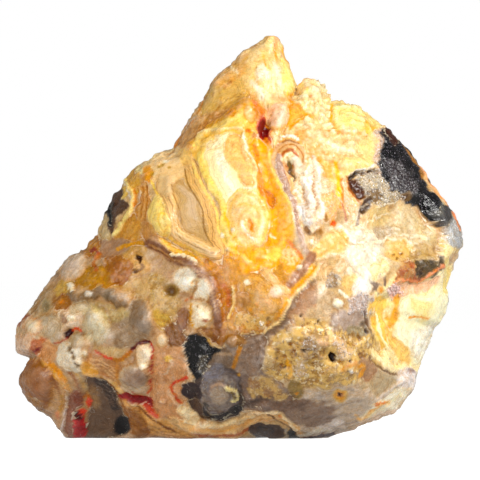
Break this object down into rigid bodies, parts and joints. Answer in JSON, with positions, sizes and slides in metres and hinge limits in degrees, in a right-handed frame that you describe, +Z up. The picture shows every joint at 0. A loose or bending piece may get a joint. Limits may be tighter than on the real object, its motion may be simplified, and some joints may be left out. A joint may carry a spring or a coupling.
{
  "type": "crazy lace agate",
  "caption": "Rough lump of banded lace agate with knobbly bands, a pointed wing at the top, a drusy shoulder and a flat base to stand on.",
  "frame": {"origin": "on the plane of the flat base, under the middle of the stone's width in the front view", "axes": "+Z up, +X along the stone's width, -Y out of the banded front"},
  "size_m": [0.0673, 0.0419, 0.0604],
  "materials": {
    "agate": "satin"
  },
  "bodies": {
    "root": {"agate": "agate"}
  },
  "joints": []
}
